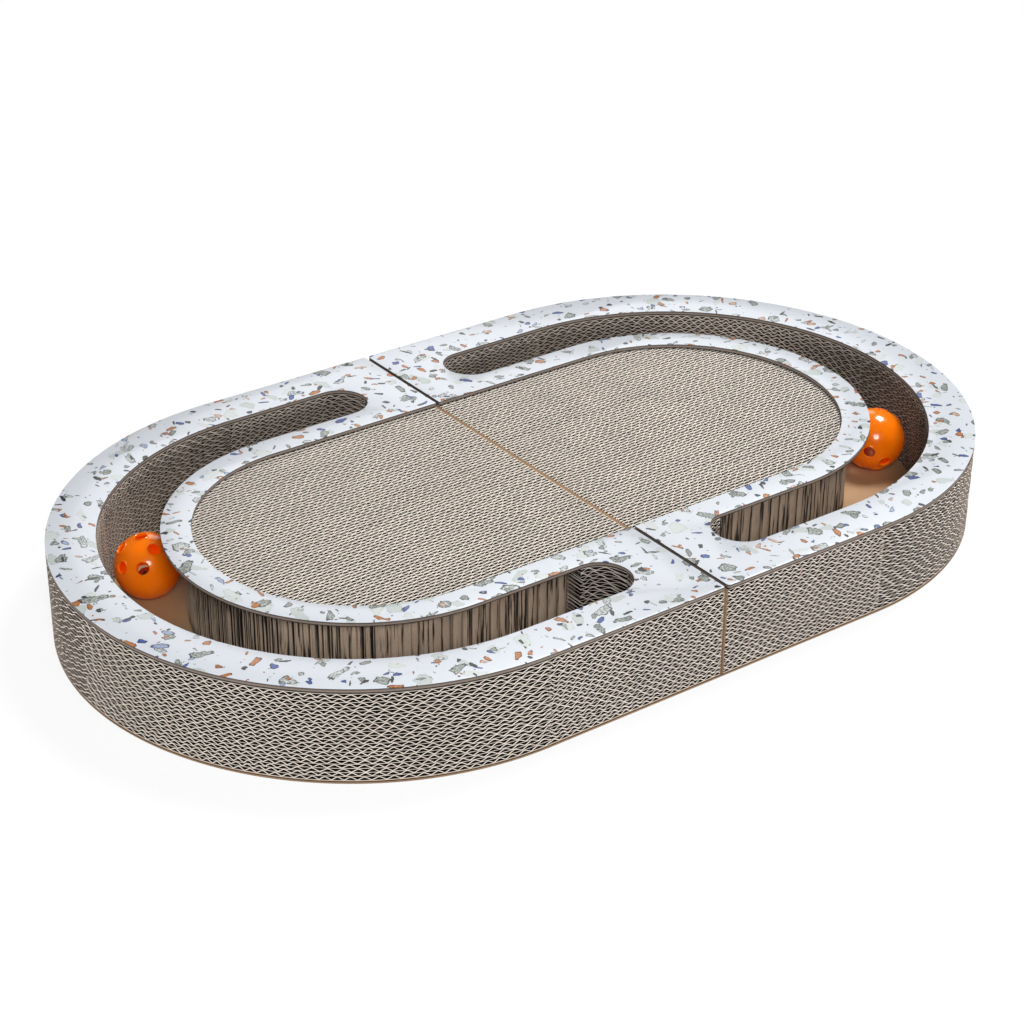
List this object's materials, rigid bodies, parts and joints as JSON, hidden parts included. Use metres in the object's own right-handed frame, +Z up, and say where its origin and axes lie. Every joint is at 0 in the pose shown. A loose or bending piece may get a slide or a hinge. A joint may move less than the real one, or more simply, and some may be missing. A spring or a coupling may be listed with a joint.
{
  "type": "cat scratcher with ball track",
  "caption": "Oval corrugated cat scratcher in two halves that fold at the seam, with a scratch pad, a terrazzo-printed top board and a perforated bell ball in a half-round track at each end.",
  "frame": {"origin": "centre of the underside, on the seam between the two halves", "axes": "+X along the oval towards the right half, +Y across it towards the rear, +Z up"},
  "size_m": [0.632, 0.38, 0.062],
  "materials": {
    "kraft_board": "plain brown kraft, matte",
    "corrugated_layers": "cut edges of stacked corrugated sheets, grey brown",
    "corrugated_strips": "cut edges of upright corrugated strips, light brown",
    "printed_board": "white print with terrazzo chips, semi-gloss",
    "orange_plastic": "glossy orange",
    "bell_steel": "bright nickel"
  },
  "bodies": {
    "left_half": {"left_base_sheet": "kraft_board", "left_hinge_leaf": "kraft_board", "left_front_leg_block": "corrugated_layers", "left_rear_leg_block": "corrugated_layers", "left_front_arc_block": "corrugated_layers", "left_rear_arc_block": "corrugated_layers", "left_scratch_pad": "corrugated_strips", "left_top_board": "printed_board"},
    "right_half": {"right_base_sheet": "kraft_board", "right_hinge_leaf": "kraft_board", "right_front_leg_block": "corrugated_layers", "right_rear_leg_block": "corrugated_layers", "right_front_arc_block": "corrugated_layers", "right_rear_arc_block": "corrugated_layers", "right_scratch_pad": "corrugated_strips", "right_top_board": "printed_board"},
    "left_bell": {"left_bell_slotted_cup": "bell_steel", "left_bell_plain_cup": "bell_steel", "left_bell_pellet": "bell_steel"},
    "left_ball": {"left_ball_cap_upper": "orange_plastic", "left_ball_cap_lower": "orange_plastic"},
    "right_bell": {"right_bell_slotted_cup": "bell_steel", "right_bell_plain_cup": "bell_steel", "right_bell_pellet": "bell_steel"},
    "right_ball": {"right_ball_cap_upper": "orange_plastic", "right_ball_cap_lower": "orange_plastic"}
  },
  "joints": [
    {"name": "fold", "type": "hinge", "parent": "left_half", "child": "right_half", "pos_m": [0, 0, -0.0002], "axis": [0, 1, 0], "range_deg": [0, 180]},
    {"name": "left_ball_track", "type": "hinge", "parent": "left_half", "child": "left_bell", "pos_m": [-0.126, 0, 0], "axis": [0, 0, 1], "range_deg": [-50.7, 129.3]},
    {"name": "left_ball_roll", "type": "hinge", "parent": "left_bell", "child": "left_ball", "pos_m": [-0.22989, 0.08503, 0.0229], "axis": [-0.7738, 0.6334, 0], "range_deg": [-836, 329]},
    {"name": "right_ball_track", "type": "hinge", "parent": "right_half", "child": "right_bell", "pos_m": [0.126, 0, 0], "axis": [0, 0, 1], "range_deg": [-69.3, 110.7]},
    {"name": "right_ball_roll", "type": "hinge", "parent": "right_bell", "child": "right_ball", "pos_m": [0.25575, -0.04903, 0.0229], "axis": [0.9354, -0.3535, 0], "range_deg": [-740, 464]}
  ],
  "couplings": [
    {"joint": "left_ball_roll", "follows": "left_ball_track", "ratio": -6.4543},
    {"joint": "right_ball_roll", "follows": "right_ball_track", "ratio": -6.6683}
  ]
}
